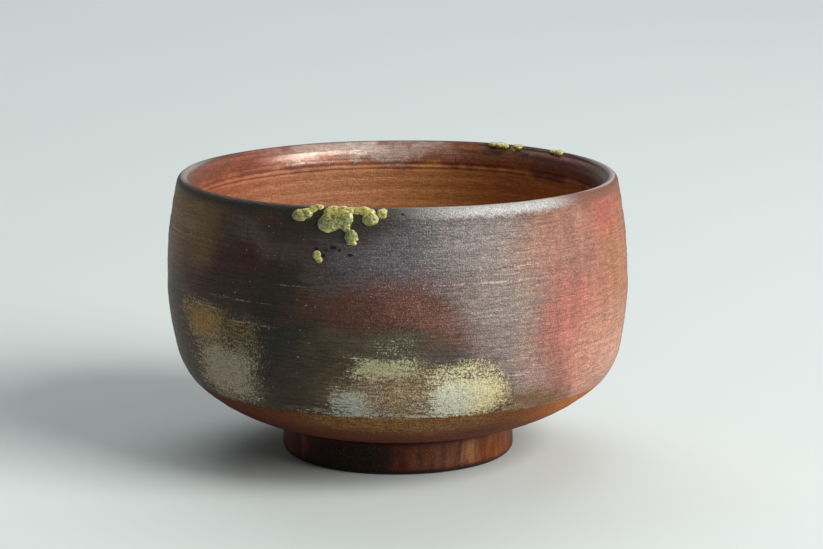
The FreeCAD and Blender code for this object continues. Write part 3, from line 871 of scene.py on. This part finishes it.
        # Pale grey to the left and the right is a painted highlight where the lip is seen edge-on; in front
        # and behind the crest is dark.
        crest_and_highlight = paint.mix(paint.ramp(wall.theta, -64, -84), tone(34, 27, 23), tone(140, 134, 130))
        crest_and_highlight = paint.mix(paint.ramp(wall.theta, 34, 60), crest_and_highlight, tone(160, 152, 148))
        crest_and_highlight = paint.mix(paint.ramp(wall.y, 8, 34), crest_and_highlight, tone(42, 31, 27))
        self.colour = paint.mix(paint.times(crest, 0.85), self.colour, crest_and_highlight)

    def pits(self):
        self.colour = self.paint.mix(self.marked(PITS, 0.35), self.colour, tone(14, 11, 9))

    def underside(self):
        """Bare clay that the tool trimmed, redder and duller, with a haze of ash in front."""
        paint, wall = self.paint, self.wall
        bare = paint.ramp(paint.add(wall.z, paint.sway(self.fleck, 1.0)), 22.4, 21.9)
        clay = paint.mix(paint.ramp(wall.theta, -50, -4), tone(84, 33, 2), tone(101, 50, 4))
        clay = paint.mix(paint.ramp(wall.theta, 30, 56), clay, tone(164, 94, 28))
        clay = paint.mix(paint.ramp(wall.theta, 90, 150), clay, tone(90, 42, 18))
        deep = paint.times(paint.ramp(wall.z, 19.0, 14.5), paint.ramp(self.cloud, 0.35, 0.6, 0.9, 0.5))
        clay = paint.mix(deep, clay, tone(76, 24, 2))
        clay = paint.mix(paint.ramp(wall.radius, 30, 18), clay, tone(86, 40, 20))
        haze = zone(paint, self.ragged, (2, 20.2), (26, 3.2), soft=0.6)
        haze = paint.times(haze, paint.ramp(paint.add(self.grain, self.streak), 0.92, 1.1), 0.7)
        clay = paint.mix(haze, clay, tone(140, 112, 60))
        clay = paint.tinted(clay, paint.ramp(self.fleck, 0.34, 0.66, 0.72, 1.28))
        clay = paint.tinted(clay, paint.ramp(self.grain, 0.38, 0.62, 0.76, 1.2))
        self.colour = paint.mix(bare, self.colour, clay)
        self.rough = paint.blend(bare, self.rough, 0.72)
        self.film = paint.less(self.film, bare)

    def inner_wall(self):
        """The inside, from rust on the left to umber on the right, with a smoother bevel under its lip that
        carries a painted highlight at the back.
        """
        paint = self.paint
        rust = paint.mix(paint.ramp(self.cloud, 0.40, 0.60), tone(138, 86, 50), tone(154, 100, 61))
        rust = flashed(paint, rust, self.back, INNER_FLASHES)
        rust = paint.tinted(rust, paint.ramp(self.streak, 0.36, 0.64, 0.84, 1.18))
        rust = paint.tinted(rust, paint.ramp(self.fleck, 0.34, 0.66, 0.84, 1.18))
        rust = paint.mix(paint.ramp(self.grain, 0.44, 0.33, 0.0, 0.4), rust, tone(60, 32, 20))
        inner = paint.ramp(paint.math("MULTIPLY_ADD", self.side, -0.26, self.inside), 0.50, 0.66)
        self.colour = paint.mix(inner, self.colour, rust)
        self.rough = paint.blend(inner, self.rough, paint.ramp(self.wall.z, 68, 71, 0.44, 0.27))
        self.bevel = paint.times(inner, paint.ramp(self.wall.z, 70.6, 71.6))
        self.film = paint.blend(inner, self.film, paint.times(self.bevel, 0.85))

    def finished(self):
        """Sets the shader and returns the material."""
        paint = self.paint
        heights = paint.math("MULTIPLY_ADD", self.fleck, 0.8, paint.times(self.grain, 0.8))
        heights = paint.add(heights, paint.times(self.lines, 0.5))
        heights = paint.times(heights, paint.blend(self.bevel, 1.0, 0.3))
        paint.set(
            Base_Color=self.colour,
            Roughness=self.rough,
            Metallic=paint.times(self.film, 0.3),
            Normal=paint.bump(heights, 0.00026),
            Specular_IOR_Level=0.25,
        )
        return paint.material


def clay_material():
    clay = BowlClay()
    clay.flashes()
    clay.ash()
    clay.scratches()
    clay.soot_and_shade()
    clay.lip()
    clay.crest()
    clay.pits()
    clay.underside()
    clay.inner_wall()
    return clay.finished()


def foot_material():
    """Dark red-brown clay with upright runs, deepened by painted shade on the left and in front and along
    the standing edge.
    """
    paint = Paint("foot_clay_red_brown")
    wall = Wall(paint)
    cloud = paint.noise(wall.mm, 0.09, 3.0)
    runs = paint.noise(paint.vector("MULTIPLY", wall.mm, (1, 1, 0.14)), 0.5, 4.0, 0.65)
    grain = paint.noise(wall.mm, 2.1, 3.0, 0.7)
    lean = paint.add(paint.sway(cloud, 10), paint.sway(runs, 14))
    place = wall.map(wall.theta, lean, paint.sway(grain, 2))
    colour = paint.mix(paint.ramp(cloud, 0.4, 0.6), tone(88, 30, 6), tone(70, 25, 6))
    colour = flashed(paint, colour, place, FOOT_FLASHES)
    colour = paint.tinted(colour, paint.ramp(runs, 0.36, 0.64, 0.62, 1.4))
    colour = paint.mix(paint.ramp(grain, 0.56, 0.70, 0.0, 0.18), colour, tone(150, 122, 104))
    colour = paint.mix(paint.ramp(grain, 0.44, 0.33, 0.0, 0.6), colour, tone(16, 10, 8))
    # Painted shade along the standing edge.
    colour = paint.mix(paint.ramp(wall.z, 2.2, 0.8, 0.0, 0.85), colour, tone(20, 14, 12))
    colour = paint.mix(paint.ramp(wall.z, 7.4, 8.6, 0.0, 0.7), colour, tone(60, 18, 10))
    paint.set(
        Base_Color=colour,
        Roughness=paint.ramp(runs, 0.3, 0.7, 0.42, 0.58),
        Normal=paint.bump(paint.math("MULTIPLY_ADD", runs, 0.7, grain), 0.0002),
        Specular_IOR_Level=0.15,
    )
    return paint.material


def ash_glass_material():
    """Runny glass: straw yellow where it is thin, grey-green where it pooled, with burst bubbles."""
    paint = Paint("natural_ash_glass")
    wall = Wall(paint)
    blotch = paint.noise(wall.mm, 0.7, 3.0, 0.65)
    speck = paint.noise(wall.mm, 2.0, 2.5, 0.6)
    # How far a point stands proud of the bowl's outer arc says how deep the glass is there.
    rise = paint.add(wall.z, -BELLY[1])
    reach = paint.math("SQRT", paint.math("MULTIPLY_ADD", paint.times(rise, rise), -1.0, UPPER_ARC**2))
    proud = paint.math("SUBTRACT", wall.radius, paint.add(reach, BELLY[0] - UPPER_ARC))
    pooled = paint.ramp(paint.add(proud, paint.sway(blotch, 3.0)), 0.25, 0.9)
    pooled = paint.times(pooled, paint.ramp(wall.z, 75.6, 74.0))
    colour = paint.mix(pooled, tone(180, 169, 88), tone(108, 114, 72))
    colour = paint.mix(paint.ramp(blotch, 0.40, 0.62, 0.0, 0.45), colour, tone(138, 134, 58))
    colour = paint.mix(paint.ramp(speck, 0.52, 0.68, 0.0, 0.42), colour, tone(206, 200, 138))
    colour = paint.mix(paint.ramp(speck, 0.48, 0.37, 0.0, 0.8), colour, tone(66, 66, 34))
    paint.set(
        Base_Color=colour,
        Roughness=paint.ramp(blotch, 0.3, 0.7, 0.24, 0.42),
        Normal=paint.bump(paint.add(speck, blotch), 0.0002, 0.9),
        Subsurface_Weight=0.2,
        Subsurface_Scale=0.001,
        Coat_Weight=0.4,
        Coat_Roughness=0.12,
    )
    return paint.material


# ---------------------------------------------------------------- ash glass

# How finely the blobs of a deposit are melted together, and how often the skin is smoothed.
GLASS_VOXEL = 0.14
GLASS_SMOOTHING = 10

# One blob of glass: direction round the bowl in degrees, height and distance of its middle from the
# axis, half width along the wall, half height and half depth, all in millimetres.
GLASS = {
    "front_ash_run_left": [
        (-23.8, 73.8, 59.6, 2.3, 1.6, 1.25),
        (-22.2, 74.3, 59.5, 2.0, 1.5, 1.1),
        (-20.6, 75.3, 59.0, 1.6, 1.1, 1.0),
        (-19.3, 75.9, 58.6, 1.6, 0.9, 1.0),
    ],
    "front_ash_run_main": [
        (-16.4, 72.2, 60.0, 2.9, 2.5, 1.35),
        (-14.2, 73.0, 59.8, 2.6, 2.4, 1.3),
        (-12.4, 73.6, 59.8, 2.3, 2.2, 1.2),
        (-12.1, 71.7, 60.1, 1.4, 1.5, 0.9),
        (-16.3, 74.6, 59.3, 1.9, 1.4, 1.0),
        (-15.4, 75.5, 58.8, 2.0, 1.1, 1.1),
        (-13.2, 75.6, 58.7, 2.2, 1.1, 1.2),
        (-11.1, 75.4, 58.8, 1.9, 1.1, 1.1),
    ],
    "front_ash_hanging_drop": [
        (-11.6, 70.9, 60.4, 0.8, 1.2, 0.65),
        (-10.7, 69.4, 60.8, 1.7, 1.8, 1.3),
        (-11.0, 67.9, 61.0, 0.9, 0.6, 0.55),
        (-9.9, 67.7, 61.0, 0.8, 0.5, 0.5),
        (-9.3, 68.7, 61.0, 0.5, 0.4, 0.4),
    ],
    "front_ash_run_right": [
        (-9.3, 75.4, 58.9, 1.7, 1.0, 1.1),
        (-7.7, 75.4, 58.9, 2.0, 1.3, 1.1),
        (-6.6, 74.9, 59.3, 1.9, 1.4, 1.1),
        (-6.3, 73.7, 59.7, 2.2, 1.9, 1.2),
    ],
    "front_ash_end_bead": [
        (-3.5, 74.9, 59.3, 1.5, 1.35, 1.05),
        (-3.2, 75.4, 59.0, 1.2, 0.9, 0.9),
    ],
    "front_ash_low_bead": [
        (-18.8, 64.4, 61.4, 1.15, 1.35, 0.7),
        (-18.3, 63.3, 61.5, 0.95, 1.0, 0.6),
    ],
    "rear_ash_run": [
        (151.3, 76.2, 57.5, 1.9, 0.8, 1.5),
        (149.3, 76.2, 57.5, 1.9, 0.9, 1.6),
        (147.4, 76.0, 57.4, 1.4, 0.8, 1.2),
        (149.8, 75.0, 58.8, 1.6, 1.2, 1.0),
        (150.2, 73.4, 59.7, 1.5, 1.6, 0.9),
    ],
    "rear_ash_inner_drip": [
        (143.4, 76.2, 57.5, 1.9, 0.9, 1.5),
        (144.2, 75.4, 57.1, 1.4, 1.1, 1.1),
        (144.6, 74.2, 56.5, 0.7, 1.3, 0.6),
        (144.7, 73.0, 56.1, 0.6, 0.9, 0.5),
    ],
    "rear_ash_side_run": [
        (130.0, 76.2, 57.5, 1.5, 0.7, 1.3),
        (127.4, 76.0, 57.4, 1.8, 1.0, 1.5),
        (128.6, 74.8, 58.8, 1.5, 1.1, 1.0),
        (128.4, 73.5, 59.6, 1.2, 1.4, 0.8),
    ],
    "rear_ash_dot": [
        (132.2, 74.2, 56.5, 0.9, 0.8, 0.6),
    ],
}


def melted_skin(node, blobs):
    """The mesh of a deposit of glass, with its blobs melted into one skin."""
    work = bmesh.new()
    for azimuth, height, reach, wide, tall, deep in blobs:
        turn = Matrix.Rotation(math.radians(azimuth), 4, "Z")
        move = Matrix.Translation((0, -reach * MM, height * MM))
        size = Matrix.Diagonal((wide * MM, deep * MM, tall * MM, 1))
        bmesh.ops.create_icosphere(work, subdivisions=4, radius=1.0, matrix=turn @ move @ size)
    mesh = bpy.data.meshes.new(node + "_blobs")
    work.to_mesh(mesh)
    work.free()
    raw = bpy.data.objects.new(node + "_blobs", mesh)
    bpy.context.scene.collection.objects.link(raw)
    melt = raw.modifiers.new("melt", "REMESH")
    melt.mode = "VOXEL"
    melt.voxel_size = GLASS_VOXEL * MM
    soften = raw.modifiers.new("soften", "SMOOTH")
    soften.factor = 0.5
    soften.iterations = GLASS_SMOOTHING
    graph = bpy.context.evaluated_depsgraph_get()
    skin = bpy.data.meshes.new_from_object(raw.evaluated_get(graph))
    bpy.data.objects.remove(raw)
    bpy.data.meshes.remove(mesh)
    return skin


def build_glass(node, blobs, material):
    """A deposit of glass: its melted skin, rippled a little."""
    skin = melted_skin(node, blobs)
    skin.name = node + "_glass"
    for vertex in skin.vertices:
        place = vertex.co / MM
        ripple = 0.16 * noise.noise(place * 0.8) + 0.05 * noise.noise(place * 2.1 + Vector((9, 4, 7)))
        vertex.co += vertex.normal * ripple * MM
    piece = bpy.data.objects.new(node + "_glass", skin)
    bpy.context.scene.collection.objects.link(piece)
    finish_piece(piece, node, material)


# ---------------------------------------------------------------- stage and camera, in metres


def area_light(name, place, target, width, height, power, colour):
    light = bpy.data.lights.new(name, "AREA")
    light.shape = "RECTANGLE"
    light.size = width
    light.size_y = height
    light.energy = power
    light.color = colour
    lamp = bpy.data.objects.new(name, light)
    lamp.location = place
    lamp.rotation_euler = (Vector(target) - Vector(place)).to_track_quat("-Z", "Y").to_euler()
    bpy.context.scene.collection.objects.link(lamp)


def floor_material():
    paint = Paint("pale_floor")
    place = paint.node("ShaderNodeTexCoord", {}).outputs["Object"]
    mottle = paint.noise(place, 3.0, 2.0)
    paint.set(Base_Color=paint.mix(mottle, (0.60, 0.645, 0.635, 1), (0.63, 0.67, 0.66, 1)), Roughness=0.9)
    return paint.material


def build_stage():
    """A pale floor under a soft room, with a key light from the right and a wide one over the back."""
    floor = mesh_object("floor", [(-9, -9, 0), (9, -9, 0), (9, 9, 0), (-9, 9, 0)], [(0, 1, 2, 3)])
    floor.data.materials.append(floor_material())
    world = bpy.data.worlds.new("soft_room")
    bpy.context.scene.world = world
    world.use_nodes = True
    backdrop = world.node_tree.nodes["Background"]
    backdrop.inputs["Color"].default_value = (0.66, 0.71, 0.70, 1)
    backdrop.inputs["Strength"].default_value = 0.26
    area_light("key_softbox", (1.45, -0.85, 0.95), (0, 0, 0.05), 1.2, 1.5, 62, (1.0, 0.985, 0.965))
    area_light("top_softbox", (0.0, 1.9, 2.3), (0, 0.8, 0.0), 3.0, 1.8, 46, (0.95, 0.985, 1.0))


def build_camera():
    """A long lens in front of the bowl and a little above its rim, looking slightly down."""
    camera = bpy.data.objects.new("camera", bpy.data.cameras.new("camera"))
    camera.data.sensor_width = 36.0
    camera.data.lens = 113.6
    camera.location = (0.0037, -0.6938, 0.1851)
    camera.rotation_euler = Euler((math.radians(90 - 11.18), 0, 0))
    camera.data.clip_start = 0.01
    camera.data.clip_end = 50
    bpy.context.scene.collection.objects.link(camera)
    bpy.context.scene.camera = camera


build_camera()
build_bowl(clay_material())
build_foot(foot_material())
glass = ash_glass_material()
for node_name, blobs in GLASS.items():
    build_glass(node_name, blobs, glass)
build_stage()
bpy.context.scene.view_settings.view_transform = "Standard"
